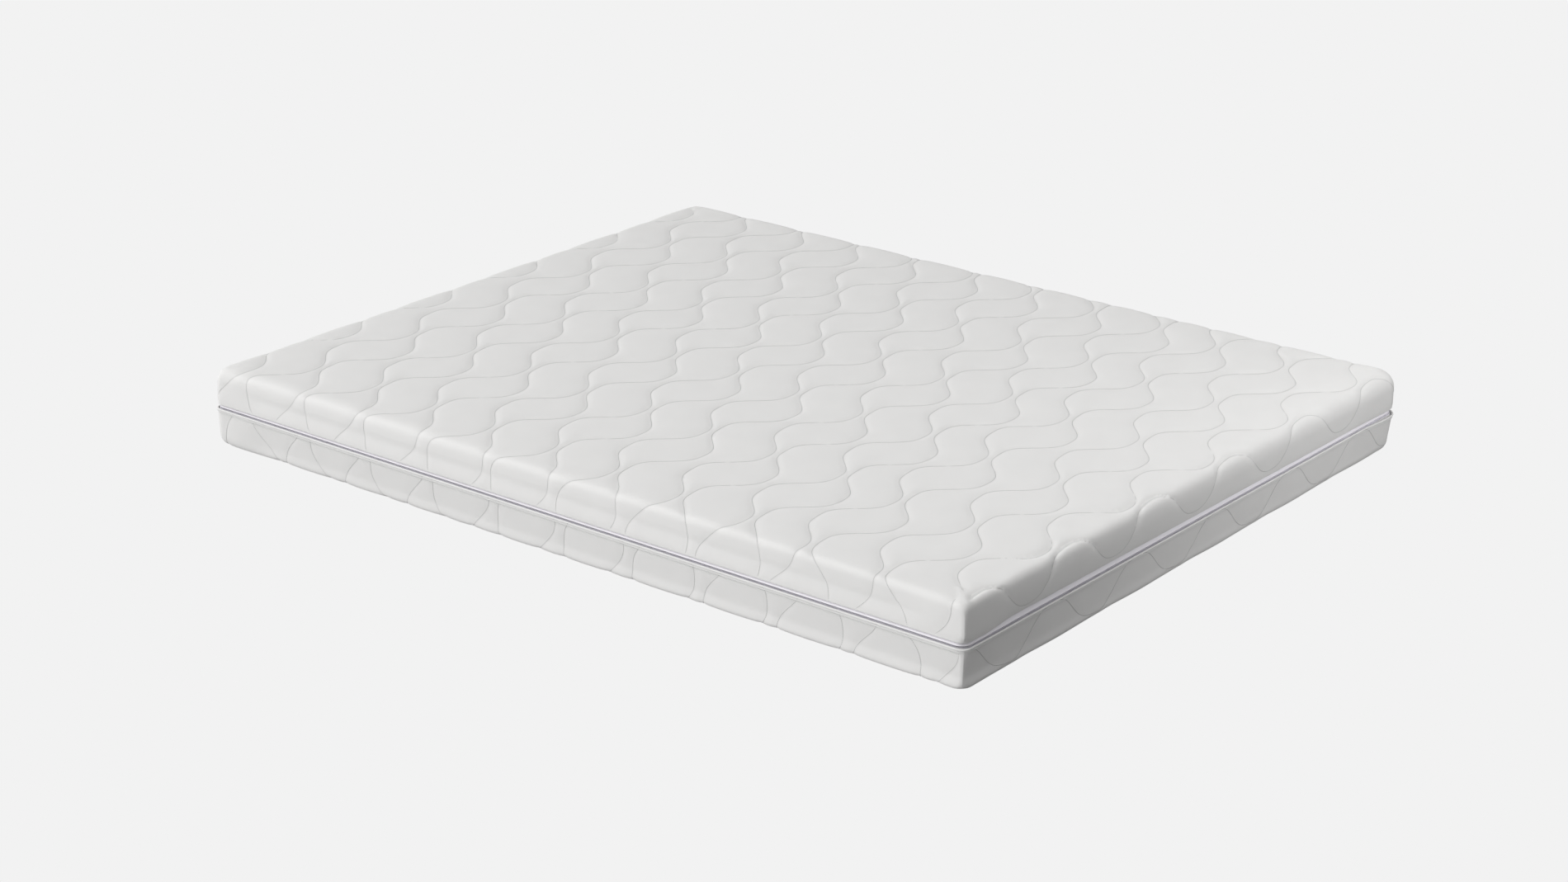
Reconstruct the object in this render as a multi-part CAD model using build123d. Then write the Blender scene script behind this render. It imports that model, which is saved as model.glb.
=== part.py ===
from build123d import *
import os

# A covered memory foam mattress for a 160 x 200 cm bed, as the separate pieces it is sewn and
# glued from: a two-layer foam core in an inner sock, inside a quilted cover of two halves that
# an all-round coil zip joins at mid height.
#
# Millimetres. The origin is the centre of the underside, +Z is up, X runs across the width and
# Y along the length. -Y is the foot end. A "depth" is measured inward from the outer surface.

# ---- Overall form ----
WIDTH = 1600.0
LENGTH = 2000.0
HEIGHT = 180.0
CORNER_RADIUS = 40.0
TOP_EDGE_RADIUS = 38.0
BOTTOM_EDGE_RADIUS = 28.0
LAYER_GAP = 0.3

# ---- Quilted cover, from the outside in ----
KNIT_THICKNESS = 1.2
WADDING_THICKNESS = 6.0
BACKING_THICKNESS = 0.8
WADDING_DEPTH = KNIT_THICKNESS + LAYER_GAP
BACKING_DEPTH = WADDING_DEPTH + WADDING_THICKNESS + LAYER_GAP
COVER_THICKNESS = BACKING_DEPTH + BACKING_THICKNESS

# ---- Zip groove and hems ----
ZIP_HEIGHT = 89.0
GROOVE_HALF_HEIGHT = 5.5
HEM_REACH = 17.7
QUILT_START = HEM_REACH + LAYER_GAP
HEM_THICKNESS = 6.2

# ---- Zip tapes and coils ----
TAPE_DEPTH = 8.0
TAPE_THICKNESS = 0.8
TAPE_REACH = 17.0
CHAIN_HALF_GAP = 0.65
COIL_DEPTH = 5.5
COIL_THICKNESS = 2.4
COIL_WIDTH = 2.55
COIL_ROUNDING = 0.8

# ---- Where the zip starts and ends, on the +X side near the head ----
SLIDER_HOME_Y = 925.0
LOWER_COIL_START_Y = 938.0
UPPER_COIL_START_Y = 912.0
COIL_FAR_END_Y = 950.0
STOP_LENGTH = 3.0
STOP_HEIGHT = 2.9
STOP_DEPTH = 5.3
STOP_THICKNESS = 2.6

# ---- Zip slider ----
SLIDER_LENGTH = 14.0
SLIDER_HALF_WIDTH = 4.5
OUTER_PLATE_DEPTH = 3.9
OUTER_PLATE_THICKNESS = 1.2
INNER_PLATE_DEPTH = 9.2
INNER_PLATE_THICKNESS = 1.1
PLATE_CORNER_RADIUS = 2.0
FLANGE_WIDTH = 0.9
FLANGE_END_DEPTH = 7.5
BRIDGE_LENGTH = 5.0
BRIDGE_THICKNESS = 0.7

# ---- Slider lug, pull tab and its pin ----
PIN_DEPTH = 2.4
PIN_RADIUS = 0.6
PIN_HALF_LENGTH = 2.4
LUG_RADIUS = 1.2
LUG_HALF_WIDTH = 1.0
LUG_HOLE_RADIUS = 0.66
ARM_INNER = 1.2
ARM_THICKNESS = 1.2
ARM_HOLE_RADIUS = 0.61
ARM_LENGTH = 5.0
TAB_START = 2.2
TAB_LENGTH = 24.0
TAB_HALF_WIDTH = 3.5
TAB_THICKNESS = 1.2
TAB_SLOT_LENGTH = 9.0
TAB_SLOT_WIDTH = 3.0
TAB_END_MARGIN = 3.0

# ---- Foam core and inner sock ----
SOCK_SIDE_DEPTH = 10.8
SOCK_FACE_DEPTH = COVER_THICKNESS + LAYER_GAP
SOCK_THICKNESS = 0.8
FOAM_SIDE_DEPTH = SOCK_SIDE_DEPTH + SOCK_THICKNESS + LAYER_GAP
FOAM_FACE_DEPTH = SOCK_FACE_DEPTH + SOCK_THICKNESS + LAYER_GAP
MEMORY_FOAM_THICKNESS = 50.0
FOAM_JOIN_HEIGHT = HEIGHT - FOAM_FACE_DEPTH - MEMORY_FOAM_THICKNESS

# ---- Corner seam allowances and care label, on the inside of the cover ----
ALLOWANCE_DEPTH = COVER_THICKNESS + LAYER_GAP
ALLOWANCE_THICKNESS = 1.2
ALLOWANCE_WIDTH = 12.0
ALLOWANCE_END_GAP = 2.0
LABEL_WIDTH = 45.0
LABEL_LENGTH = 34.0
LABEL_THICKNESS = 0.5
LABEL_DEPTH = COVER_THICKNESS + 0.4
LABEL_TOP = ZIP_HEIGHT - QUILT_START - 4.0
LABEL_X = -420.0


def rounded_block(side_depth, face_depth):
    """The mattress's form, moved in by side_depth at its walls and face_depth above and below."""
    block = Box(WIDTH - 2 * side_depth, LENGTH - 2 * side_depth, HEIGHT - 2 * face_depth)
    block = Pos(0, 0, HEIGHT / 2) * block
    block = fillet(block.edges().filter_by(Axis.Z), CORNER_RADIUS - side_depth)
    top_edges = block.faces().sort_by(Axis.Z)[-1].edges()
    block = fillet(top_edges, TOP_EDGE_RADIUS - side_depth)
    bottom_edges = block.faces().sort_by(Axis.Z)[0].edges()
    return fillet(bottom_edges, BOTTOM_EDGE_RADIUS - side_depth)


def between(low, high):
    """A slab larger than the mattress, for keeping what lies between two heights."""
    return Pos(0, 0, (low + high) / 2) * Box(2 * WIDTH, 2 * LENGTH, high - low)


def layer(depth, thickness):
    """One closed skin of the mattress's form."""
    return rounded_block(depth, depth) - rounded_block(depth + thickness, depth + thickness)


def outline(depth):
    """The plan outline at a depth, as a rounded rectangle."""
    return RectangleRounded(WIDTH - 2 * depth, LENGTH - 2 * depth, CORNER_RADIUS - depth)


def ring(depth, thickness, low, high):
    """An upright band that runs all round, between two heights."""
    band = outline(depth) - outline(depth + thickness)
    return extrude(Pos(0, 0, low) * band, high - low)


def side_box(depth, thickness, y_low, y_high, z_low, z_high):
    """A box in the +X side wall, placed by its depth from the outer surface."""
    centre_x = WIDTH / 2 - depth - thickness / 2
    box = Box(thickness, y_high - y_low, z_high - z_low)
    return Pos(centre_x, (y_low + y_high) / 2, (z_low + z_high) / 2) * box


def zip_span(inner, outer, side):
    """Heights of a band beside the zip line: side is +1 above the line and -1 below it."""
    ends = (ZIP_HEIGHT + side * inner, ZIP_HEIGHT + side * outer)
    return min(ends), max(ends)


def cover_layer(depth, thickness, start, side):
    """One layer of a cover half, from start beside the zip line to the mattress's face."""
    face = HEIGHT if side > 0 else 0.0
    edge = ZIP_HEIGHT + side * start
    return layer(depth, thickness) & between(min(edge, face), max(edge, face))


def hem(side):
    """The quilt's edge, folded in and sewn to the zip tape."""
    low, high = zip_span(GROOVE_HALF_HEIGHT, HEM_REACH, side)
    return ring(WADDING_DEPTH, HEM_THICKNESS, low, high)


def tape(side):
    """Woven zip tape, all round."""
    low, high = zip_span(CHAIN_HALF_GAP, TAPE_REACH, side)
    return ring(TAPE_DEPTH, TAPE_THICKNESS, low, high)


def coil(side, start_y):
    """Zip coil all round, open on the +X side between start_y and its far end."""
    low, high = zip_span(CHAIN_HALF_GAP, CHAIN_HALF_GAP + COIL_WIDTH, side)
    chain = ring(COIL_DEPTH, COIL_THICKNESS, low, high)
    outer_face = chain.faces().sort_by(Axis.X)[-1]
    crown_edges = outer_face.edges().filter_by(Axis.Y)
    chain = fillet(crown_edges, COIL_ROUNDING)
    return chain - side_box(0, 2 * TAPE_DEPTH, start_y, COIL_FAR_END_Y, low - 1, high + 1)


def end_stop(side, y_low):
    """A crimped stop that fills the space next to a coil's end."""
    low, high = zip_span(CHAIN_HALF_GAP, CHAIN_HALF_GAP + STOP_HEIGHT, side)
    stop = side_box(STOP_DEPTH, STOP_THICKNESS, y_low, y_low + STOP_LENGTH, low, high)
    return fillet(stop.edges().filter_by(Axis.Y), STOP_LENGTH / 5)


def corner_allowances(side):
    """The four corner seams' allowances, pressed flat against the inside of the cover."""
    if side > 0:
        low = ZIP_HEIGHT + QUILT_START
        high = HEIGHT - TOP_EDGE_RADIUS - ALLOWANCE_END_GAP
    else:
        low = BOTTOM_EDGE_RADIUS + ALLOWANCE_END_GAP
        high = ZIP_HEIGHT - QUILT_START
    strip = ring(ALLOWANCE_DEPTH, ALLOWANCE_THICKNESS, low, high)
    reach = CORNER_RADIUS + ALLOWANCE_WIDTH
    blocks = Pos(0, 0, HEIGHT / 2) * Box(2 * reach, 2 * reach, HEIGHT)
    corners = GridLocations(WIDTH, LENGTH, 2, 2)
    return [strip & (corner * blocks) for corner in corners]


def care_label():
    """A blank woven label, sewn inside the lower cover at the head end."""
    label = Box(LABEL_WIDTH, LABEL_THICKNESS, LABEL_LENGTH)
    centre_y = LENGTH / 2 - LABEL_DEPTH - LABEL_THICKNESS / 2
    return Pos(LABEL_X, centre_y, LABEL_TOP - LABEL_LENGTH / 2) * label


def slider_plate(depth, thickness):
    """One of the slider's two plates, with rounded corners."""
    y_low = SLIDER_HOME_Y - SLIDER_LENGTH / 2
    y_high = SLIDER_HOME_Y + SLIDER_LENGTH / 2
    z_low, z_high = ZIP_HEIGHT - SLIDER_HALF_WIDTH, ZIP_HEIGHT + SLIDER_HALF_WIDTH
    plate = side_box(depth, thickness, y_low, y_high, z_low, z_high)
    return fillet(plate.edges().filter_by(Axis.X), PLATE_CORNER_RADIUS)


def slider_flange(side):
    """The lip along one edge of the outer plate, which guides a coil."""
    low, high = zip_span(SLIDER_HALF_WIDTH - FLANGE_WIDTH, SLIDER_HALF_WIDTH, side)
    y_low = SLIDER_HOME_Y - SLIDER_LENGTH / 2 + PLATE_CORNER_RADIUS
    y_high = SLIDER_HOME_Y + SLIDER_LENGTH / 2 - PLATE_CORNER_RADIUS
    depth = OUTER_PLATE_DEPTH + OUTER_PLATE_THICKNESS
    return side_box(depth, FLANGE_END_DEPTH - depth, y_low, y_high, low, high)


def slider_bridge():
    """The web at the slider's nose that joins its plates and parts the coils."""
    y_high = SLIDER_HOME_Y + SLIDER_LENGTH / 2 - PLATE_CORNER_RADIUS / 2
    depth = OUTER_PLATE_DEPTH + OUTER_PLATE_THICKNESS
    low, high = ZIP_HEIGHT - BRIDGE_THICKNESS / 2, ZIP_HEIGHT + BRIDGE_THICKNESS / 2
    return side_box(depth, INNER_PLATE_DEPTH - depth, y_high - BRIDGE_LENGTH, y_high, low, high)


def on_pin(height, radius):
    """A cylinder on the pull tab's pivot axis."""
    return Pos(WIDTH / 2 - PIN_DEPTH, SLIDER_HOME_Y, ZIP_HEIGHT) * Cylinder(radius, height)


def slider_lug():
    """The eye on the outer plate that the pull tab's pin runs in."""
    width = 2 * LUG_HALF_WIDTH
    y_low, y_high = SLIDER_HOME_Y - LUG_RADIUS, SLIDER_HOME_Y + LUG_RADIUS
    low, high = ZIP_HEIGHT - LUG_HALF_WIDTH, ZIP_HEIGHT + LUG_HALF_WIDTH
    foot = side_box(PIN_DEPTH, OUTER_PLATE_DEPTH - PIN_DEPTH, y_low, y_high, low, high)
    return foot + on_pin(width, LUG_RADIUS) - on_pin(2 * width, LUG_HOLE_RADIUS)


def slider_body():
    """The slider as one casting."""
    body = slider_plate(OUTER_PLATE_DEPTH, OUTER_PLATE_THICKNESS)
    body += slider_plate(INNER_PLATE_DEPTH, INNER_PLATE_THICKNESS)
    body += slider_bridge()
    for side in (1, -1):
        body += slider_flange(side)
    return body + slider_lug()


def pull_arm(side):
    """One arm of the pull tab's fork, with the pin's hole through it."""
    low, high = zip_span(ARM_INNER, ARM_INNER + ARM_THICKNESS, side)
    middle = Pos(0, 0, (low + high) / 2 - ZIP_HEIGHT)
    eye = middle * on_pin(ARM_THICKNESS, LUG_RADIUS)
    depth = PIN_DEPTH - TAB_THICKNESS / 2
    shank = side_box(depth, TAB_THICKNESS, SLIDER_HOME_Y - ARM_LENGTH, SLIDER_HOME_Y, low, high)
    return eye + shank - middle * on_pin(2 * ARM_THICKNESS, ARM_HOLE_RADIUS)


def pull_tab():
    """The flat tab with its fork, lying along the zip and pointing to the foot end."""
    y_high = SLIDER_HOME_Y - TAB_START
    y_low = y_high - TAB_LENGTH
    depth = PIN_DEPTH - TAB_THICKNESS / 2
    low, high = ZIP_HEIGHT - TAB_HALF_WIDTH, ZIP_HEIGHT + TAB_HALF_WIDTH
    tab = side_box(depth, TAB_THICKNESS, y_low, y_high, low, high)
    tab = fillet(tab.edges().filter_by(Axis.X), PLATE_CORNER_RADIUS)
    slot_low = y_low + TAB_END_MARGIN
    slot_half = TAB_SLOT_WIDTH / 2
    slot = side_box(depth - 1, TAB_THICKNESS + 2, slot_low, slot_low + TAB_SLOT_LENGTH,
                    ZIP_HEIGHT - slot_half, ZIP_HEIGHT + slot_half)
    tab -= fillet(slot.edges().filter_by(Axis.X), slot_half * 0.9)
    return tab + pull_arm(1) + pull_arm(-1)


def foam_layer(low, high):
    """The foam core's form between two heights."""
    return rounded_block(FOAM_SIDE_DEPTH, FOAM_FACE_DEPTH) & between(low, high)


def inner_sock():
    """The thin knitted sleeve, closed all round the foam core."""
    outside = rounded_block(SOCK_SIDE_DEPTH, SOCK_FACE_DEPTH)
    return outside - rounded_block(SOCK_SIDE_DEPTH + SOCK_THICKNESS, SOCK_FACE_DEPTH + SOCK_THICKNESS)


def solids_of(piece):
    """The separate solids of a piece, as one flat list."""
    pieces = piece if isinstance(piece, list) else [piece]
    return [solid for item in pieces for solid in item.solids()]


def save(node, piece):
    """Write one node's solids to its own STEP file."""
    solids = solids_of(piece)
    shape = solids[0] if len(solids) == 1 else Compound(children=solids)
    shape.label = node
    export_step(shape, f"parts/{node}.step")


def main():
    os.makedirs("parts", exist_ok=True)
    coil_starts = {1: UPPER_COIL_START_Y, -1: LOWER_COIL_START_Y}
    for half, side in (("upper", 1), ("lower", -1)):
        save(f"{half}_cover_knit", cover_layer(0, KNIT_THICKNESS, GROOVE_HALF_HEIGHT, side))
        save(f"{half}_cover_wadding", cover_layer(WADDING_DEPTH, WADDING_THICKNESS, QUILT_START, side))
        save(f"{half}_cover_backing", cover_layer(BACKING_DEPTH, BACKING_THICKNESS, QUILT_START, side))
        save(f"{half}_cover_hem", hem(side))
        save(f"{half}_corner_seams", corner_allowances(side))
        save(f"{half}_zip_tape", tape(side))
        save(f"{half}_zip_coil", coil(side, coil_starts[side]))
    save("upper_zip_stop", end_stop(1, COIL_FAR_END_Y - STOP_LENGTH))
    save("lower_zip_stop", end_stop(-1, LOWER_COIL_START_Y))
    save("care_label", care_label())
    save("memory_foam_layer", foam_layer(FOAM_JOIN_HEIGHT, HEIGHT))
    save("support_foam_layer", foam_layer(0, FOAM_JOIN_HEIGHT))
    save("inner_sock", inner_sock())
    save("zip_slider_body", slider_body())
    save("zip_pull_pin", on_pin(2 * PIN_HALF_LENGTH, PIN_RADIUS))
    save("zip_pull_tab", pull_tab())


main()
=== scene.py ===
import math

import bmesh
import bpy
import numpy as np
from mathutils import Euler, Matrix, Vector


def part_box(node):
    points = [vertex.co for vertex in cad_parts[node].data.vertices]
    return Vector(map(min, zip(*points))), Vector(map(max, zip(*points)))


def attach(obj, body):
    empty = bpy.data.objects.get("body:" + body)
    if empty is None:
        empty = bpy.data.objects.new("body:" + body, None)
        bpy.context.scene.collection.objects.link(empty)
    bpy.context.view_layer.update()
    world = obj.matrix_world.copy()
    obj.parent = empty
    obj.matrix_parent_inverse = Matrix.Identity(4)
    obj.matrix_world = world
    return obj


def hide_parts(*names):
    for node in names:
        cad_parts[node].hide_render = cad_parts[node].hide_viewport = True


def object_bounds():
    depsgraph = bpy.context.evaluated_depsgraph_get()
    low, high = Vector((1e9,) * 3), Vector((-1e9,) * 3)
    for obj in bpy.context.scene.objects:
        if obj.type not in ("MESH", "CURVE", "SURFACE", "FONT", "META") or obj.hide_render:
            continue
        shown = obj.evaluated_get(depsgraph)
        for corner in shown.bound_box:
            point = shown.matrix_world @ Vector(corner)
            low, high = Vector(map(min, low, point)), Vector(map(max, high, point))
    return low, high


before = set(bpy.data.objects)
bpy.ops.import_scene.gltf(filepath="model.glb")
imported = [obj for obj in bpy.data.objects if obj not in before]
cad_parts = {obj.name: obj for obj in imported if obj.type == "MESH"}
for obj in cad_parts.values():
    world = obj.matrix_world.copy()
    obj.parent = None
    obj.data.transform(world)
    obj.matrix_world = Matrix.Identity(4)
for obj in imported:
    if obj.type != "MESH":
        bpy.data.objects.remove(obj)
cad_low, cad_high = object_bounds()

# A covered memory foam mattress, in metres. "side" is +1 for the upper half of the cover and -1 for
# the lower half. A panel has one flat face and four strips, which run from the face over its rounded
# edge and down the wall: axis 0 is a strip at -X or +X and axis 1 one at -Y or +Y, by their sign.
# A point of the cloth is given by u across the width and v along the length of the unfolded panel,
# or on a strip by its distance s out from the strip's start and its place t along it.

# ---- Form, from the CAD model ----
HALF_WIDTH = cad_high.x
HALF_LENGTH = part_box("lower_cover_knit")[1].y
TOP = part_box("upper_cover_knit")[1].z
ZIP_LINE = (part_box("upper_zip_tape")[0].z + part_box("lower_zip_tape")[1].z) / 2
HALVES = {1: "upper", -1: "lower"}
FACE_HEIGHT = {1: TOP, -1: 0.0}
EDGE_RADIUS = {1: 0.038, -1: 0.028}
QUARTER_TURN = math.pi / 2

# ---- Strips by (axis, sign) and corners by (x sign, y sign) ----
LEFT, RIGHT, FOOT, HEAD = STRIPS = ((0, -1), (0, 1), (1, -1), (1, 1))
FOOT_LEFT, HEAD_LEFT, FOOT_RIGHT, HEAD_RIGHT = (-1, -1), (-1, 1), (1, -1), (1, 1)
CORNERS_ROUND = (FOOT_RIGHT, HEAD_RIGHT, HEAD_LEFT, FOOT_LEFT)

# ---- Corners and their seams: the foot left corner is the sharpest ----
CORNER_ZONE = 0.060
CORNER_RADIUS = {FOOT_LEFT: 0.007, HEAD_LEFT: 0.020, FOOT_RIGHT: 0.045, HEAD_RIGHT: 0.034}
CORNER_RADIUS_AT_ZIP = 0.020
CORNER_ZIP_SHARE = 0.25
CORNER_RADIUS_AT_FACE = {1: 0.026, -1: 0.040}
CORNER_CRISP = {FOOT_LEFT: 1.0, HEAD_LEFT: 0.45, FOOT_RIGHT: 0.10, HEAD_RIGHT: 0.0}
CORNER_BLEND = 0.10
SEAM_START = -0.5
SEAM_LEVEL_SHARE = 0.35
SEAM_FLAT_REACH = 0.024
SEAM_DIP = 0.0013
SEAM_DIP_REACH = 0.005
SEAM_RIDGE = 0.0017
SEAM_RIDGE_WIDTH = 0.0015

# ---- Hem lip: its height over or under the zip line at a strip's low and high end, and in the corners ----
LIP_RADIUS = {1: 0.0022, -1: 0.0020}
LIP_INWARD = {1: 0.0022, -1: 0.0016}
LIP_ON_SIDE = {
    1: {LEFT: (0.0085, 0.0075), RIGHT: (0.0062, 0.0062), FOOT: (0.0155, 0.0095), HEAD: (0.0070, 0.0070)},
    -1: {LEFT: (0.0010, 0.0010), RIGHT: (0.0056, 0.0056), FOOT: (0.0008, 0.0008), HEAD: (0.0010, 0.0010)},
}
LIP_AT_CORNER = {
    1: {FOOT_LEFT: 0.0085, HEAD_LEFT: 0.0070, FOOT_RIGHT: 0.0080, HEAD_RIGHT: 0.0062},
    -1: {FOOT_LEFT: 0.0010, HEAD_LEFT: 0.0010, FOOT_RIGHT: 0.0056, HEAD_RIGHT: 0.0056},
}
ZIP_PULL_IN = {1: 0.0010, -1: -0.0026}
ZIP_PULL_LENGTH = {1: 0.010, -1: 0.006}

# ---- Wall: how far it leans in at its rounded edge, and how hollow it is, by (side, axis) ----
LEAN_ON_SIDE = {
    1: {LEFT: (0.0034, 0.0034), RIGHT: (0.0010, 0.0010), FOOT: (-0.0024, 0.0), HEAD: (0.0010, 0.0010)},
    -1: {LEFT: (0.0080, 0.0080), RIGHT: (0.0060, 0.0060), FOOT: (0.0052, 0.0060), HEAD: (0.0060, 0.0060)},
}
LEAN_AT_CORNER = {
    1: {FOOT_LEFT: 0.0, HEAD_LEFT: 0.002, FOOT_RIGHT: 0.0, HEAD_RIGHT: 0.0},
    -1: {FOOT_LEFT: 0.0080, HEAD_LEFT: 0.001, FOOT_RIGHT: 0.006, HEAD_RIGHT: 0.006},
}
WALL_HOLLOW = {(1, 0): 0.0018, (1, 1): 0.0, (-1, 0): 0.0, (-1, 1): 0.0}
WALL_HOLLOW_BIAS = 0.5

# ---- Quilting: two families of waves along the width, repeated down the length ----
WAVE_PERIOD = 0.286
WAVE_PARTS = ((1, 0.0402, 0.0), (2, 0.0020, math.radians(-125)), (3, 0.0034, math.radians(-168)))
ROW_NUMBERS = range(-3, 13)
REPEAT_ROWS = 3
REPEAT_LENGTH = {1: 0.5414, -1: 0.5382}
ROW_OFFSETS = (0.0, 0.1787, 0.3576)
CREST_OFFSETS = (0.0, 0.0108, 0.0060)
FIRST_ROWS = {
    1: ((0.8605, -0.5239, -0.0118), (0.7780, -0.6214, -0.0111)),
    -1: ((0.8448, -0.8975, 0.0152), (0.9344, -0.8032, 0.0125)),
}
SPLICE_ROW = 8
SPLICE_SHIFT = (0.0125, -0.018)

# ---- Puff of the quilting: deep where the foot edge folds over a line, shallow on the walls ----
CREASE_DEPTH = 0.0018
CREASE_WIDTH = 0.0045
PUFF_DEPTH = 0.0024
PUFF_WIDTH = 0.024
WALL_BLEND = 0.030
WALL_BLEND_SHIFT = 0.7
WALL_CREASE_SHARE = 0.40
WALL_PUFF_SHARE = 0.18
FOOT_WALL_SHARE = 0.45
FOOT_EDGE_DEPTH = 0.0066
FOOT_EDGE_PLACE = 0.985
FOOT_EDGE_WIDTH = 0.030
FOOT_EDGE_FADE_START = -0.25
FOOT_EDGE_FADE_LENGTH = 0.85
FOOT_EDGE_FADE = 0.92
FOOT_EDGE_MARGIN = 0.018
FOOT_CREASE_SHARE = 0.6

# ---- Meshes ----
KNIT_CELL = 0.0068
FILL_CELL = 0.0135
BACKING_CELL = 0.025
GROOVE_CELL = 0.010
GROOVE_CORNER_POINTS = 13
EDGE_CELL_SHARE = 0.7
LIP_STEPS = 2.5
SEAM_ZONE_SHARE = 0.93
SEAM_CELL = 0.0012
SEAM_CELL_GROWTH = 0.35
SEAM_CELL_LAST = 0.0008
SNAP_SHARE = 0.9
LEAST_RUN = 1e-4
WELD_DISTANCE = 2e-5
NEAR_ZERO = 1e-6

# ---- Stitches ----
STITCH_PITCH = 0.0039
STITCH_LENGTH = 0.0028
STITCH_HALF_WIDTH = 0.00042
STITCH_LIFT = 0.0005
STITCH_END_DIP = 1.2
STITCH_PAST_HEM = 0.0005
STITCH_SEAM_GAP = 0.002
STITCH_STRETCH = 0.25
LINE_REACH = 0.08
LINE_STEP = 5e-4
PROBE_STEP = 1e-4


# ---------------------------------------------------------------- the form of the cloth


def smooth(value):
    """0 to 1 with soft ends."""
    clipped = np.clip(value, 0.0, 1.0)
    return clipped * clipped * (3.0 - 2.0 * clipped)


def ends_of(at_corner, axis, sign):
    """A corner table's values at the two ends of a strip."""
    return [at_corner[(sign, end) if axis == 0 else (end, sign)] for end in (-1, 1)]


def strip_reach(axis):
    """Half the length of a strip between its corner zones."""
    return (HALF_LENGTH if axis == 0 else HALF_WIDTH) - CORNER_ZONE


def edge_end(side):
    """Distance from a strip's start to the end of its rounded edge."""
    return CORNER_ZONE - EDGE_RADIUS[side] + EDGE_RADIUS[side] * QUARTER_TURN


def lip_length(side):
    """Length of the cloth that turns in at the hem lip."""
    return LIP_RADIUS[side] * QUARTER_TURN + LIP_INWARD[side]


def along_edge(on_side, at_corner, axis, sign, t):
    """A value that runs evenly along a side and blends into its own value in each corner."""
    reach = strip_reach(axis)
    ends = ends_of(at_corner, axis, sign)
    corner = np.where(np.asarray(t) < 0, ends[0], ends[1])
    middle = np.interp(t, (-reach, reach), on_side[axis, sign])
    return corner + (middle - corner) * smooth((reach - np.abs(t)) / CORNER_BLEND)


def lip_distance(side, axis, sign, t):
    """Height of the zip groove's half, from the zip line to the hem lip."""
    return along_edge(LIP_ON_SIDE[side], LIP_AT_CORNER[side], axis, sign, t)


def wall_length(side, axis, sign, t):
    """Length of the straight wall between the rounded edge and the hem lip."""
    height = abs(FACE_HEIGHT[side] - ZIP_LINE)
    return height - lip_distance(side, axis, sign, t) - EDGE_RADIUS[side] - LIP_RADIUS[side]


FOLD_START = 0.25
FOLD_LENGTH = 0.5
FOLD_SHARES = np.linspace(0.0, 1.0, 101)
FOLD_STEPS = np.cos(QUARTER_TURN * smooth((FOLD_SHARES[1:] - FOLD_START) / FOLD_LENGTH))
FOLD_OUT = np.concatenate(([0.0], np.cumsum(FOLD_STEPS))) / np.sum(FOLD_STEPS)


def folded(share, crisp):
    """How far out a rounded edge has come at a share of its arc: a circle, or a tighter fold."""
    return (1.0 - crisp) * np.sin(QUARTER_TURN * share) + crisp * np.interp(share, FOLD_SHARES, FOLD_OUT)


def profile(side, axis, sign, s, t):
    """(inset from the outer plane, drop from the face, share passed) of a strip's point.

    The share runs from -1 at the start of the rounded edge to 0 and 1 at the ends of the wall."""
    radius = EDGE_RADIUS[side]
    wall = wall_length(side, axis, sign, t)
    reach = strip_reach(axis)
    crisp = np.interp(t, (-reach, reach), ends_of(CORNER_CRISP, axis, sign))
    flat = CORNER_ZONE - radius
    edge = radius * QUARTER_TURN
    lip_radius = LIP_RADIUS[side]
    fold = np.clip((s - flat) / edge, 0.0, 1.0)
    down = np.clip(s - flat - edge, 0.0, wall)
    curl = np.clip((s - flat - edge - wall) / lip_radius, 0.0, QUARTER_TURN)
    inward = np.maximum(s - flat - edge - wall - lip_radius * QUARTER_TURN, 0.0)
    passed = down / wall
    inset = CORNER_ZONE - np.minimum(s, flat) - radius * folded(fold, crisp)
    lean = along_edge(LEAN_ON_SIDE[side], LEAN_AT_CORNER[side], axis, sign, t)
    inset = inset + lean * smooth(fold) * (1.0 - passed)
    hollow = WALL_HOLLOW[side, axis] * smooth((reach - np.abs(t)) / CORNER_BLEND)
    inset = inset + hollow * np.sin(math.pi * passed**WALL_HOLLOW_BIAS) ** 2
    inset = inset + ZIP_PULL_IN[side] * smooth((down - wall) / ZIP_PULL_LENGTH[side] + 1.0)
    inset = inset + lip_radius * (1.0 - np.cos(curl)) + inward
    drop = radius * (1.0 - folded(1.0 - fold, crisp)) + down + lip_radius * np.sin(curl)
    return inset, drop, passed + fold - 1.0


def corner_radius(side, axis, sign, t, inset, passed):
    """Plan radius of the corner nearest to t, which grows from nothing at the corner's pole."""
    ends = ends_of(CORNER_RADIUS, axis, sign)
    outer = np.where(t < 0, ends[0], ends[1])
    near_zip = smooth((passed - 1.0) / CORNER_ZIP_SHARE + 1.0)
    outer = outer + (np.maximum(outer, CORNER_RADIUS_AT_ZIP) - outer) * near_zip
    outer = outer + (np.maximum(outer, CORNER_RADIUS_AT_FACE[side]) - outer) * smooth(-passed)
    return outer * np.clip(CORNER_ZONE - inset, 0.0, None) / CORNER_ZONE


def corner_run(side, axis, sign, s, t):
    """How far the cloth runs past the corner zone's start before it meets the corner seam."""
    inset, _, passed = profile(side, axis, sign, s, t)
    radius = corner_radius(side, axis, sign, t, inset, passed)
    return np.clip(CORNER_ZONE - inset, 0.0, None) - radius * (1.0 - math.pi / 4)


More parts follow.
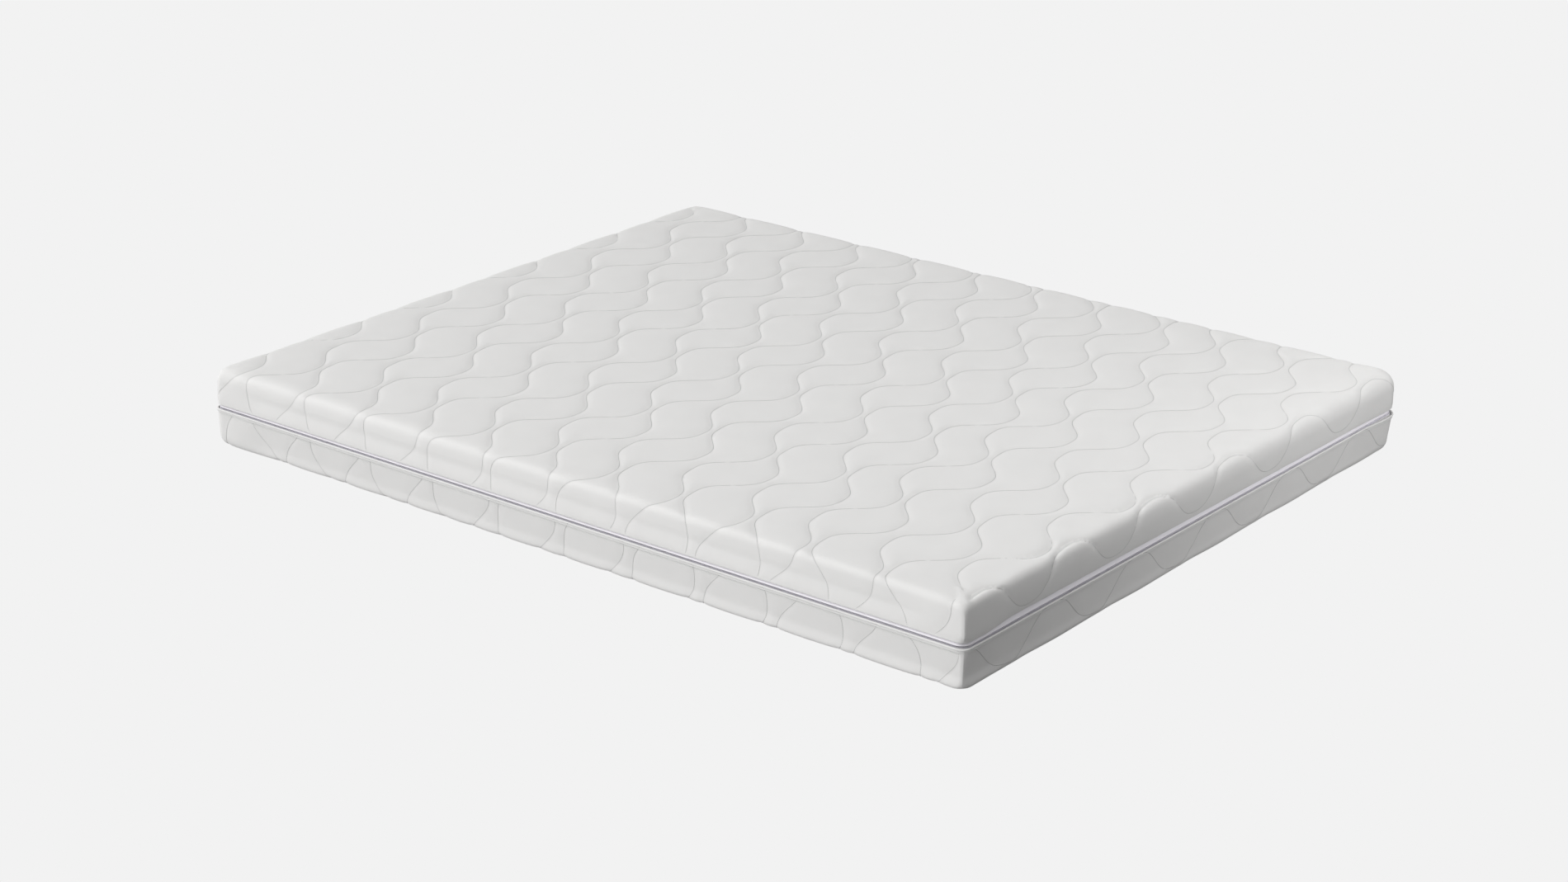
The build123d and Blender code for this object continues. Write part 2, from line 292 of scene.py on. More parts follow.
def wall_points(side, axis, sign, s, t):
    """Points of a strip in space, with the share of the wall that each has passed."""
    half_out = HALF_WIDTH if axis == 0 else HALF_LENGTH
    inset, drop, passed = profile(side, axis, sign, s, t)
    radius = corner_radius(side, axis, sign, t, inset, passed)
    straight = np.clip(CORNER_ZONE - inset, 0.0, None) - radius
    past = np.abs(t) - strip_reach(axis)
    angle = np.clip((past - straight) / np.maximum(radius, NEAR_ZERO), 0.0, math.pi / 4)
    turned = past > straight
    out = half_out - inset - np.where(turned, radius * (1.0 - np.cos(angle)), 0.0)
    bent = strip_reach(axis) + straight + radius * np.sin(angle)
    along = np.sign(t) * np.where(turned, bent, np.abs(t))
    height = FACE_HEIGHT[side] - side * drop
    columns = (sign * out, along, height) if axis == 0 else (along, sign * out, height)
    return np.column_stack(np.broadcast_arrays(*columns)), passed


def unfolded(axis, sign, s, t):
    """Cloth coordinates (u, v) of a strip's points."""
    out = sign * (strip_reach(1 - axis) + s)
    return (out, t) if axis == 0 else (t, out)


def strips_at(u, v):
    """For each strip: which cloth points lie on it, their s and t, and how far each runs past its end."""
    out_u, out_v = np.abs(u) - strip_reach(1), np.abs(v) - strip_reach(0)
    for axis, sign in STRIPS:
        s, over, t, across = (out_u, out_v, v, u) if axis == 0 else (out_v, out_u, u, v)
        here = (s > 0) & (s >= over) & (np.sign(across) == sign)
        yield axis, sign, here, s[here], t[here], over[here]


def wall_share(u, v):
    """0 on the face and 1 on the walls at cloth coordinates."""
    out = np.maximum(np.abs(u) - HALF_WIDTH, np.abs(v) - HALF_LENGTH)
    return smooth(out / WALL_BLEND + WALL_BLEND_SHIFT)


# ---------------------------------------------------------------- the quilting lines


def quilt_lines(side):
    """(middle, crest place) of every quilting line on a half, whose pattern repeats every few rows."""
    lines = []
    for middle, crest, drift in FIRST_ROWS[side]:
        for row in ROW_NUMBERS:
            repeat, place = divmod(row, REPEAT_ROWS)
            spliced = side == 1 and row >= SPLICE_ROW
            shift = SPLICE_SHIFT if spliced else (0.0, 0.0)
            down = repeat * REPEAT_LENGTH[side] + ROW_OFFSETS[place]
            lines.append((middle - down + shift[0], crest + drift * row + CREST_OFFSETS[place] + shift[1]))
    return lines


def line_height(u, middle, crest):
    """v of a quilting line at u, and its slope there."""
    phase = 2.0 * math.pi * (u - crest) / WAVE_PERIOD
    height = middle + sum(size * np.cos(times * phase + turn) for times, size, turn in WAVE_PARTS)
    rate = -sum(size * times * np.sin(times * phase + turn) for times, size, turn in WAVE_PARTS)
    return height, rate * 2.0 * math.pi / WAVE_PERIOD


def nearest_line(side, u, v):
    """Signed distance along v to the nearest quilting line, and the true distance to it."""
    gap = np.full(u.shape, 1.0)
    distance = np.full(u.shape, 1.0)
    for middle, crest in quilt_lines(side):
        height, slope = line_height(u, middle, crest)
        closer = np.abs(height - v) < np.abs(gap)
        gap = np.where(closer, height - v, gap)
        distance = np.minimum(distance, np.abs(height - v) / np.sqrt(1.0 + slope * slope))
    return gap, distance


def line_depth(side, u, v):
    """(crease depth, puff depth) of the quilting at cloth coordinates."""
    on_wall = wall_share(u, v)
    on_foot_wall = smooth((-v - HALF_LENGTH) / WALL_BLEND)
    shallow = 1.0 - (1.0 - FOOT_WALL_SHARE) * on_foot_wall
    crease = CREASE_DEPTH * (1.0 + (WALL_CREASE_SHARE - 1.0) * on_wall) * shallow
    puff = PUFF_DEPTH * (1.0 + (WALL_PUFF_SHARE - 1.0) * on_wall) * shallow
    if side == 1:
        foot = np.exp(-(((v + FOOT_EDGE_PLACE) / FOOT_EDGE_WIDTH) ** 2)) * FOOT_EDGE_DEPTH
        foot = foot * (1.0 - FOOT_EDGE_FADE * smooth((u - FOOT_EDGE_FADE_START) / FOOT_EDGE_FADE_LENGTH))
        foot = foot * smooth((HALF_WIDTH - FOOT_EDGE_MARGIN - np.abs(u)) / FOOT_EDGE_MARGIN)
        crease = crease + foot * FOOT_CREASE_SHARE
        puff = puff + foot * (1.0 - FOOT_CREASE_SHARE)
    return crease, puff


def quilt_dip(side, u, v, seam):
    """How far the quilting pulls the cloth in, evened out towards the corner seams."""
    _, distance = nearest_line(side, u, v)
    crease, puff = line_depth(side, u, v)
    dip = crease * np.exp(-distance / CREASE_WIDTH) + puff * np.exp(-distance / PUFF_WIDTH)
    shallow = (WALL_CREASE_SHARE + WALL_PUFF_SHARE) / 2
    level = SEAM_LEVEL_SHARE * (CREASE_DEPTH + PUFF_DEPTH) * (1.0 - (1.0 - shallow) * wall_share(u, v))
    return level + (dip - level) * smooth(seam / SEAM_FLAT_REACH)


# ---------------------------------------------------------------- cover panels


def strip_rows(side, cell):
    """Rows down a strip, as (distance with no wall, share of the wall)."""
    flat = CORNER_ZONE - EDGE_RADIUS[side]
    edge = edge_end(side)
    wall = float(wall_length(side, *LEFT, 0.0))
    rows = []
    parts = ((0.0, flat, 0, cell), (flat, edge, 0, cell * EDGE_CELL_SHARE), (edge, edge, 1, cell))
    for start, end, on_wall, step in parts:
        length = end - start + on_wall * wall
        for share in np.linspace(0.0, 1.0, max(2, round(length / step)), endpoint=False):
            rows.append((start + (end - start) * share, on_wall * share))
    lip_step = min(cell, LIP_RADIUS[side] / LIP_STEPS)
    for length in np.arange(0.0, lip_length(side) + lip_step / 2, lip_step):
        rows.append((edge + length, 1.0))
    return np.array(rows)


def corner_steps(cell):
    """Shares of the way round a corner, closer together beside the seam."""
    reach = CORNER_ZONE * SEAM_ZONE_SHARE
    distances = [reach]
    while distances[-1] > SEAM_CELL_LAST:
        distances.append(distances[-1] - min(cell, SEAM_CELL + distances[-1] * SEAM_CELL_GROWTH))
    distances[-1] = 0.0
    return 1.0 - np.array(distances[1:]) / reach


def even_steps(half, cell):
    """Evenly spaced places from -half to half, about a cell apart."""
    return np.linspace(-half, half, max(2, round(2 * half / cell)) + 1)


def grid_quads(index):
    """Quads between the neighbours of a grid of point numbers."""
    around = (index[:-1, :-1], index[:-1, 1:], index[1:, 1:], index[1:, :-1])
    return np.stack([corner.ravel() for corner in around], axis=1)


def new_mesh(name, points, faces):
    """A mesh of an array of points and a list of faces."""
    mesh = bpy.data.meshes.new(name)
    mesh.from_pydata(points.tolist(), [], faces)
    return mesh


def reworked(mesh, change):
    """Change a mesh in place through bmesh."""
    work = bmesh.new()
    work.from_mesh(mesh)
    change(work)
    work.to_mesh(mesh)
    work.free()


def in_scene(name, data):
    """A new object in the scene."""
    added = bpy.data.objects.new(name, data)
    bpy.context.scene.collection.objects.link(added)
    return added


def placed(mesh):
    """A smooth-shaded piece in the scene."""
    mesh.shade_smooth()
    mesh.update()
    return in_scene(mesh.name, mesh)


def with_thickness(piece, thickness):
    """Give a skin its thickness, inwards."""
    skin = piece.modifiers.new("thickness", "SOLIDIFY")
    skin.thickness = thickness
    skin.offset = -1.0
    return piece


def read_values(items, name, width):
    """One property of all of a mesh's items, as an array of so many columns."""
    values = np.empty(len(items) * width, np.float32)
    items.foreach_get(name, values)
    return values.reshape(-1, width)


class Panel:
    """One half of the cover as a set of grids, which are welded when its mesh is made."""

    def __init__(self, side, cell, quilted):
        self.side = side
        self.quilted = quilted
        self.points, self.quads, self.triangles = [], [], []
        self.u, self.v, self.seam, self.passed = [], [], [], []
        self.count = 0
        self.add_face(cell)
        for axis, sign in STRIPS:
            self.add_strip(cell, axis, sign)
        for name in ("points", "quads", "triangles", "u", "v", "seam", "passed"):
            setattr(self, name, np.concatenate(getattr(self, name)))

    def to_line(self, u, v, room):
        """How far points move along v to lie on a quilting line, if one is within their room."""
        if not self.quilted:
            return np.zeros(u.shape), np.zeros(u.shape, bool)
        gap, _ = nearest_line(self.side, u, v)
        on_line = np.abs(gap) <= room
        return np.where(on_line, gap, 0.0), on_line

    def add_face(self, cell):
        """Add the flat face's grid, whose rows move on to the quilting lines."""
        xs, ys = (even_steps(strip_reach(axis), cell) for axis in (1, 0))
        u, v = np.meshgrid(xs, ys)
        room = np.full(u.shape, (ys[1] - ys[0]) / 2)
        room[[0, -1]] = 0.0
        moved, on_line = self.to_line(u, v, room)
        v = v + moved
        points = np.column_stack((u.ravel(), v.ravel(), np.full(u.size, FACE_HEIGHT[self.side])))
        self.add_grid(points, u, v, np.ones(u.shape), np.full(u.shape, -1.0), on_line, self.side == -1)

    def add_strip(self, cell, axis, sign):
        """Add the grid of one strip, which runs round to the corner seams at both ends."""
        along = even_steps(strip_reach(axis), cell)
        steps = corner_steps(cell)
        share = np.concatenate((-steps[::-1], np.zeros(len(along)), steps))
        base = np.concatenate((np.full(len(steps), along[0]), along, np.full(len(steps), along[-1])))
        rows = strip_rows(self.side, cell)
        s = rows[:, :1] + rows[:, 1:] * wall_length(self.side, axis, sign, base)[None, :]
        base, share = np.broadcast_to(base, s.shape), np.broadcast_to(share, s.shape)
        run = corner_run(self.side, axis, sign, s, base)
        t = base + share * run
        if axis == 0:
            room = np.abs(np.gradient(t, axis=1)) / 2
            room[:, [len(steps), len(steps) + len(along) - 1]] = 0.0
        else:
            room = np.abs(np.gradient(s, axis=0)) / 2
            room[0] = 0.0
            room[rows[:, 1] == 1] = 0.0
        room = np.where(np.abs(share) < SNAP_SHARE, room, 0.0)
        moved, on_line = self.to_line(*unfolded(axis, sign, s, t), room)
        if axis == 0:
            t = t + moved
        else:
            s = s + moved * sign
        u, v = unfolded(axis, sign, s, t)
        points, passed = wall_points(self.side, axis, sign, s.ravel(), t.ravel())
        seam = np.where(share == 0, 1.0, (1.0 - np.abs(share)) * np.maximum(run, LEAST_RUN))
        turned_over = (sign == self.side) if axis == 0 else (sign != self.side)
        self.add_grid(points, u, v, seam, passed, on_line, turned_over)

    def add_grid(self, points, u, v, seam, passed, on_line, turned_over):
        """Add a grid of points: a quad whose diagonal is a quilting line is cut along that line."""
        index = self.count + np.arange(u.size).reshape(u.shape)
        quads = grid_quads(index)
        if turned_over:
            quads = quads[:, ::-1]
        lined = on_line.ravel()[quads - self.count]
        first = lined[:, 0] & lined[:, 2] & ~lined[:, 1] & ~lined[:, 3]
        second = lined[:, 1] & lined[:, 3] & ~lined[:, 0] & ~lined[:, 2]
        self.triangles += [quads[first][:, [0, 1, 2]], quads[first][:, [0, 2, 3]]]
        self.triangles += [quads[second][:, [1, 2, 3]], quads[second][:, [1, 3, 0]]]
        self.quads.append(quads[~first & ~second])
        self.points.append(points)
        for values, added in ((self.u, u), (self.v, v), (self.seam, seam), (self.passed, passed)):
            values.append(np.broadcast_to(added, u.size if added.ndim == 1 else u.shape).ravel())
        self.count += u.size

    def make(self, name, dip):
        """A welded piece with the cloth coordinates as its UV map, pressed in by dip along its normals."""
        mesh = new_mesh(name, self.points, self.quads.tolist() + self.triangles.tolist())
        loops = np.concatenate((self.quads.ravel(), self.triangles.ravel()))
        uv = mesh.uv_layers.new(name="cloth")
        uv.data.foreach_set("uv", np.column_stack((self.u, self.v))[loops].astype(np.float32).ravel())
        mesh.attributes.new("dip", "FLOAT", "POINT").data.foreach_set("value", dip.astype(np.float32))
        reworked(mesh, lambda work: bmesh.ops.remove_doubles(work, verts=work.verts, dist=WELD_DISTANCE))
        depth = read_values(mesh.attributes["dip"].data, "value", 1)
        normal = read_values(mesh.vertex_normals, "vector", 3)
        place = read_values(mesh.vertices, "co", 3) - normal * depth
        mesh.vertices.foreach_set("co", place.ravel())
        mesh.attributes.remove(mesh.attributes["dip"])
        return placed(mesh)


HEM_FADE_START = -0.004
HEM_FADE_LENGTH = 0.006


def hem_share(side, u, v):
    """0 on the quilt and 1 in the hem lip, where the quilting flattens out."""
    share = np.zeros(u.shape)
    for axis, sign, here, s, t, _ in strips_at(u, v):
        end = edge_end(side) + wall_length(side, axis, sign, t)
        share[here] = smooth((s - end - HEM_FADE_START) / HEM_FADE_LENGTH)
    return share


def knit_cover(side):
    """The quilted knit of one half, drawn in along its quilting lines and raised at its corner seams."""
    panel = Panel(side, KNIT_CELL, True)
    quilt = 1.0 - hem_share(side, panel.u, panel.v)
    dip = quilt_dip(side, panel.u, panel.v, panel.seam) * quilt
    past_mid_edge = smooth(1.0 - panel.passed / SEAM_START)
    dip_beside_seam = SEAM_DIP * (1.0 - smooth(panel.seam / SEAM_DIP_REACH))
    ridge = SEAM_RIDGE * np.exp(-panel.seam / SEAM_RIDGE_WIDTH)
    dip = dip + past_mid_edge * quilt * (dip_beside_seam - ridge)
    return panel.make(f"{HALVES[side]}_quilted_knit", dip)


WADDING_DEPTH = 0.0014
WADDING_THICKNESS = 0.0030
BACKING_DEPTH = 0.0080
BACKING_THICKNESS = 0.0008


def wadding(side):
    """The quilt's filling, which follows the knit's puffs just under it."""
    panel = Panel(side, FILL_CELL, True)
    quilt = 1.0 - hem_share(side, panel.u, panel.v)
    dip = WADDING_DEPTH + quilt_dip(side, panel.u, panel.v, panel.seam) * quilt
    return with_thickness(panel.make(f"{HALVES[side]}_wadding_fill", dip), WADDING_THICKNESS)


def backing(side):
    """The plain cloth on the inside of the quilt."""
    panel = Panel(side, BACKING_CELL, False)
    piece = panel.make(f"{HALVES[side]}_backing_cloth", np.full(panel.count, BACKING_DEPTH))
    return with_thickness(piece, BACKING_THICKNESS)


# ---------------------------------------------------------------- threads and teeth


def surface_point(side, u, v):
    """Points of the undented panel at cloth coordinates, and which of them the panel has."""
    place = np.column_stack((u, v, np.full(u.shape, FACE_HEIGHT[side])))
    there = np.ones(u.shape, bool)
    hem_start = edge_end(side) + STITCH_PAST_HEM
    for axis, sign, here, s, t, over in strips_at(u, v):
        place[here], _ = wall_points(side, axis, sign, s, t)
        clear_of_seam = over < corner_run(side, axis, sign, s, t) - STITCH_SEAM_GAP
        there[here] = clear_of_seam & (s < hem_start + wall_length(side, axis, sign, t))
    return place, there


BAR_SHOULDER = 0.3


def bars(name, centre, forward, aside, outward, length, half_width, half_height, end_dip):
    """One mesh of many short rounded bars, whose ends dip inwards by a share of their half height."""
    ring = [(-BAR_SHOULDER, w, h) for w, h in ((1, 0), (0, 1), (-1, 0), (0, -1))]
    ring += [(BAR_SHOULDER, w, h) for _, w, h in ring]
    ring += [(-0.5, 0, -end_dip), (0.5, 0, -end_dip)]
    along, across, upward = forward * length, aside * half_width, outward * half_height
    points = np.stack([centre + along * a + across * w + upward * h for a, w, h in ring], axis=1)
    sides = [(i, (i + 1) % 4, 4 + (i + 1) % 4, 4 + i) for i in range(4)]
    caps = [(8, (i + 1) % 4, i) for i in range(4)] + [(9, 4 + i, 4 + (i + 1) % 4) for i in range(4)]
    faces = [tuple(len(ring) * n + i for i in face) for n in range(len(centre)) for face in sides + caps]
    return placed(new_mesh(name, points.reshape(-1, 3), faces))


def path_length(points):
    """Length along a path up to each of its points."""
    return np.concatenate(([0.0], np.cumsum(np.linalg.norm(np.diff(points, axis=0), axis=1))))


def quilting_thread(side):
    """All quilting stitches of one half, each a short thread that dips into the cloth at both ends."""
    starts = []
    for middle, crest in quilt_lines(side):
        u = np.arange(-HALF_WIDTH - LINE_REACH, HALF_WIDTH + LINE_REACH, LINE_STEP)
        v, _ = line_height(u, middle, crest)
        length = path_length(np.column_stack((u, v)))
        along = np.interp(np.arange(0.0, length[-1], STITCH_PITCH), length, u)
        v, slope = line_height(along, middle, crest)
        tilt = 1.0 / np.sqrt(1.0 + slope * slope)
        starts.append(np.column_stack((along, v, tilt, slope * tilt)))
    u, v, du, dv = np.concatenate(starts).T
    centre, there = surface_point(side, u, v)
    ahead, _ = surface_point(side, u + du * PROBE_STEP, v + dv * PROBE_STEP)
    beside, _ = surface_point(side, u - dv * PROBE_STEP, v + du * PROBE_STEP)
    forward, aside = (ahead - centre) / PROBE_STEP, (beside - centre) / PROBE_STEP
    outward = np.cross(forward, aside) * side
    for direction in (forward, aside):
        there &= np.abs(np.linalg.norm(direction, axis=1) - 1.0) < STITCH_STRETCH
    depth = np.sum(line_depth(side, u, v), axis=0) - STITCH_LIFT
    centre, forward, aside, outward, depth = (a[there] for a in (centre, forward, aside, outward, depth))
    outward /= np.linalg.norm(outward, axis=1)[:, None]
    centre = centre - outward * depth[:, None]
    name = f"{HALVES[side]}_quilting_thread"
    size = (STITCH_LENGTH, STITCH_HALF_WIDTH, STITCH_HALF_WIDTH)
    return bars(name, centre, forward, aside, outward, *size, STITCH_END_DIP)


# ---------------------------------------------------------------- bands all round: zip and hems


def corner_normals(sx, sy, count):
    """Unit directions round a corner in plan, anticlockwise."""
    angles = math.atan2(sy, sx) - math.pi / 4 + np.linspace(0.0, QUARTER_TURN, count)
    return np.column_stack((np.cos(angles), np.sin(angles)))


def groove_path(depth):
    """Plan points and normals all round at a depth from the outer walls, anticlockwise."""
    arcs = []
    for sx, sy in CORNERS_ROUND:
        radius = max(CORNER_RADIUS[sx, sy], CORNER_RADIUS_AT_ZIP) * (CORNER_ZONE - depth) / CORNER_ZONE
        inset = depth + radius
        centre = np.array((sx * (HALF_WIDTH - inset), sy * (HALF_LENGTH - inset)))
        normals = corner_normals(sx, sy, GROOVE_CORNER_POINTS)
        arcs.append((centre + normals * radius, normals))
    places, normals = [], []
    for number, (arc, arc_normals) in enumerate(arcs):
        following = arcs[(number + 1) % len(arcs)][0][0]
        run = following - arc[-1]
        shares = np.linspace(0.0, 1.0, round(np.linalg.norm(run) / GROOVE_CELL), endpoint=False)[1:]
        places += [arc, arc[-1] + run * shares[:, None]]
        normals += [arc_normals, np.repeat(arc_normals[-1:], len(shares), axis=0)]
    return np.concatenate(places), np.concatenate(normals)


def lip_along(side, places):
    """The lip distance beside each plan point of a path."""
    distance = np.empty(len(places))
    out = np.abs(places) - (HALF_WIDTH, HALF_LENGTH)
    for axis, sign in STRIPS:
        here = (out[:, axis] >= out[:, 1 - axis]) & (np.sign(places[:, axis]) == sign)
        distance[here] = lip_distance(side, axis, sign, places[here, 1 - axis])
    return distance


def band(name, depth, section):
    """A closed band all round. section gives a loop of (inward, height) arrays, one value a path point."""
    places, normals = groove_path(depth)
    ring = section(places, normals)
    count, size = len(places), len(ring)
    points = np.empty((count, size, 3))
    for number, (inward, height) in enumerate(ring):
        points[:, number, :2] = places - normals * np.broadcast_to(inward, count)[:, None]
        points[:, number, 2] = height
    index = np.arange(count * size).reshape(count, size)
    faces = grid_quads(np.pad(index, ((0, 1), (0, 1)), mode="wrap")).tolist()
    mesh = new_mesh(name, points.reshape(-1, 3), faces)
    reworked(mesh, lambda work: bmesh.ops.recalc_face_normals(work, faces=work.faces))
    return placed(mesh)


TAPE_THICKNESS = 0.0008
TAPE_ROWS = 26
TAPE_RIB = 0.00006
TAPE_OUT = 0.0058
TAPE_FOLD_SHARE = 0.14
TAPE_FOLD_START = 0.45
TAPE_LEAST_ROOM = 1e-5
TRACK_TURN = 0.5
COIL_HALF_HEIGHT = 0.0018
COIL_OUT = 0.0026


def free_share(normals):
    """1 where the zip may stand out of its groove, 0 on the side where the slider runs."""
    return 1.0 - smooth(normals[:, 0] / TRACK_TURN)


def zip_tape(side):
    """Woven tape that leans out from the lip and folds in over the coil, except in the slider's track."""
    low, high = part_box(f"{HALVES[side]}_zip_tape")
    heights = np.linspace(low.z, high.z, TAPE_ROWS)

    def section(places, normals):
        lip = lip_along(side, places)
        free = free_share(normals)
        room = np.maximum(lip - COIL_HALF_HEIGHT, TAPE_LEAST_ROOM)
        loop = []
        for number, height in enumerate(heights):
            share = np.clip((abs(height - ZIP_LINE) - COIL_HALF_HEIGHT) / room, 0.0, 1.0)
            unfolding = TAPE_FOLD_START + (1.0 - TAPE_FOLD_START) * smooth(share / TAPE_FOLD_SHARE)
            out = np.minimum(unfolding, (1.0 - share) / (1.0 - TAPE_FOLD_SHARE))
            loop.append((TAPE_RIB * (number % 2) - TAPE_OUT * free * out, height))
        return loop + [(inward + TAPE_THICKNESS, height) for inward, height in reversed(loop)]

    return band(f"{HALVES[side]}_zip_tape_woven", HALF_WIDTH - high.x, section)


HEM_DEPTH = 0.0046
HEM_THICKNESS = 0.0028
HEM_HEIGHT = 0.010
HEM_ROUNDING = 0.0010
HEM_GAP = 0.0006


def hem(side):
    """The quilt's edge, folded in behind the lip as a soft flat roll."""
    near, far, top = HEM_ROUNDING, HEM_THICKNESS - HEM_ROUNDING, HEM_HEIGHT - HEM_ROUNDING
    across = ((near, 0.0), (far, 0.0), (HEM_THICKNESS, near), (HEM_THICKNESS, top))
    across += ((far, HEM_HEIGHT), (near, HEM_HEIGHT), (0.0, top), (0.0, near))

    def section(places, normals):
        start = lip_along(side, places) + HEM_GAP
        return [(inward, ZIP_LINE + side * (start + height)) for inward, height in across]

    return band(f"{HALVES[side]}_folded_hem", HEM_DEPTH, section)


TOOTH_PITCH = 0.0019
TOOTH_HALF_WIDTH = 0.0006
TOOTH_HALF_HEIGHT = 0.0011
SLIDER_SIDE = 0.9


def along_path(places, normals, pitch, start):
    """Evenly spaced points of a closed plan path, with their normals."""
    closed = np.concatenate((places, places[:1]))
    closed_normals = np.concatenate((normals, normals[:1]))
    length = path_length(closed)
    at = np.arange(start, length[-1], pitch)
    spots = np.column_stack([np.interp(at, length, closed[:, i]) for i in (0, 1)])
    found = np.column_stack([np.interp(at, length, closed_normals[:, i]) for i in (0, 1)])
    return spots, found / np.linalg.norm(found, axis=1)[:, None]


def zip_teeth(side):
    """The zip coil's teeth, which leave its gap free where the slider starts."""
    node = f"{HALVES[side]}_zip_coil"
    low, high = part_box(node)
    middle = (low.z + high.z) / 2
    depth = HALF_WIDTH - high.x + TOOTH_HALF_HEIGHT
    spots, normals = along_path(*groove_path(depth), TOOTH_PITCH, TOOTH_PITCH / 2 if side == 1 else 0.0)
    gap_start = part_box("upper_zip_stop" if side == 1 else "lower_zip_stop")[0].y
    if side == 1:
        gap_start = min(gap_start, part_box("zip_slider_body")[0].y)
    gap_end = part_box("upper_zip_stop")[1].y
    in_gap = (normals[:, 0] > SLIDER_SIDE) & (spots[:, 1] > gap_start) & (spots[:, 1] < gap_end)
    spots, normals = spots[~in_gap], normals[~in_gap]
    spots = spots + normals * (COIL_OUT * free_share(normals))[:, None]
    centre = np.column_stack((spots, np.full(len(spots), middle)))
    outward = np.column_stack((normals, np.zeros(len(spots))))
    upright = np.broadcast_to((0.0, 0.0, float(side)), centre.shape)
    aside = np.cross(upright, outward)
    size = (high.z - low.z, TOOTH_HALF_WIDTH, TOOTH_HALF_HEIGHT)
    return bars(f"{node}_teeth", centre, upright, aside, outward, *size, 0.0)


# ---------------------------------------------------------------- inside: seams, label, sock, foam


ALLOWANCE_WIDTH = 0.012
ALLOWANCE_ROWS = 24
ALLOWANCE_COLUMNS = 9
ALLOWANCE_STEPS = 10
ALLOWANCE_THICKNESS = 0.0011
OVERLOCK_PITCH = 4
OVERLOCK_DENT = 0.08


def corner_allowances(side):
    """The four corner seams' allowances, pressed flat inside the cover, with overlocked edges."""
    node = f"{HALVES[side]}_corner_seams"
    low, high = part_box(node)
    places, _ = groove_path(HALF_WIDTH - high.x)
    points, faces = [], []
    for sx, sy in CORNERS_ROUND:
        corner = np.array((sx * HALF_WIDTH, sy * HALF_LENGTH))
        near = np.argmin(np.linalg.norm(places - corner, axis=1))
        path = np.take(places, range(near - ALLOWANCE_STEPS, near + ALLOWANCE_STEPS + 1), axis=0, mode="wrap")
        length = path_length(path)
        length = length - length[ALLOWANCE_STEPS]
        for row, height in enumerate(np.linspace(low.z, high.z, ALLOWANCE_ROWS)):
            reach = ALLOWANCE_WIDTH * (1.0 - OVERLOCK_DENT * (row % OVERLOCK_PITCH == 0))
            for at in np.linspace(-reach, reach, ALLOWANCE_COLUMNS):
                points.append((*(np.interp(at, length, path[:, i]) for i in (0, 1)), height))
        size = ALLOWANCE_ROWS * ALLOWANCE_COLUMNS
        index = len(points) - size + np.arange(size).reshape(ALLOWANCE_ROWS, ALLOWANCE_COLUMNS)
        faces += grid_quads(index).tolist()
    piece = placed(new_mesh(f"{node}_overlocked", np.array(points), faces))
    return with_thickness(piece, ALLOWANCE_THICKNESS)


LABEL_COLUMNS = 14
LABEL_ROWS = 12
LABEL_CURL = 0.0004
LABEL_THICKNESS_SHARE = 0.8
LABEL_STITCHES = 13
LABEL_STITCH_MARGIN = 0.002
LABEL_STITCH_DROP = 0.003
LABEL_STITCH_SIZE = (0.0026, 0.0003, 0.0003)


def care_label():
    """The blank woven label, sewn along its top edge and slightly curled below, and its stitches."""
    low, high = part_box("care_label")
    x, z = np.meshgrid(np.linspace(low.x, high.x, LABEL_COLUMNS), np.linspace(low.z, high.z, LABEL_ROWS))
    fall = (high.z - z) / (high.z - low.z)
    y = high.y - LABEL_CURL * fall * np.sin((x - low.x) / (high.x - low.x) * math.pi * 2)
    points = np.column_stack((x.ravel(), y.ravel(), z.ravel()))
    faces = grid_quads(np.arange(x.size).reshape(x.shape)).tolist()
    cloth = placed(new_mesh("care_label_cloth", points, faces))
    label = with_thickness(cloth, (high.y - low.y) * LABEL_THICKNESS_SHARE)
    centre = np.empty((LABEL_STITCHES, 3))
    centre[:, 0] = np.linspace(low.x + LABEL_STITCH_MARGIN, high.x - LABEL_STITCH_MARGIN, LABEL_STITCHES)
    centre[:, 1:] = (low.y, high.z - LABEL_STITCH_DROP)
    ways = ((1.0, 0.0, 0.0), (0.0, 0.0, 1.0), (0.0, -1.0, 0.0))
    ways = [np.broadcast_to(way, centre.shape) for way in ways]
    return label, bars("care_label_stitches", centre, *ways, *LABEL_STITCH_SIZE, 1.0)


SLAB_SIDE_CELL = 0.020
SLAB_EDGE_STEPS = 7
SLAB_CORNER_POINTS = 9
SLAB_LEAST_RADIUS = 0.002
SLAB_RINGS = (0.0, 0.01, 0.03, 0.07, 0.15, 0.30, 0.50, 0.70)
CAD_CORNER_RADIUS = 0.040


def plan_ring(half_x, half_y, radius):
    """Points of a rounded rectangle, the same number for every size."""
    ring = []
    for number, (sx, sy) in enumerate(CORNERS_ROUND):
        next_x, next_y = CORNERS_ROUND[(number + 1) % len(CORNERS_ROUND)]
        centre = np.array((sx * (half_x - radius), sy * (half_y - radius)))
        following = np.array((next_x * (half_x - radius), next_y * (half_y - radius)))
        arc = centre + radius * corner_normals(sx, sy, SLAB_CORNER_POINTS)
        count = round((HALF_WIDTH if sx != next_x else HALF_LENGTH) * 2 / SLAB_SIDE_CELL)
        run = arc[-1] + (following - centre) * np.linspace(0.0, 1.0, count, endpoint=False)[1:, None]
        ring += [arc, run]
    return np.concatenate(ring)


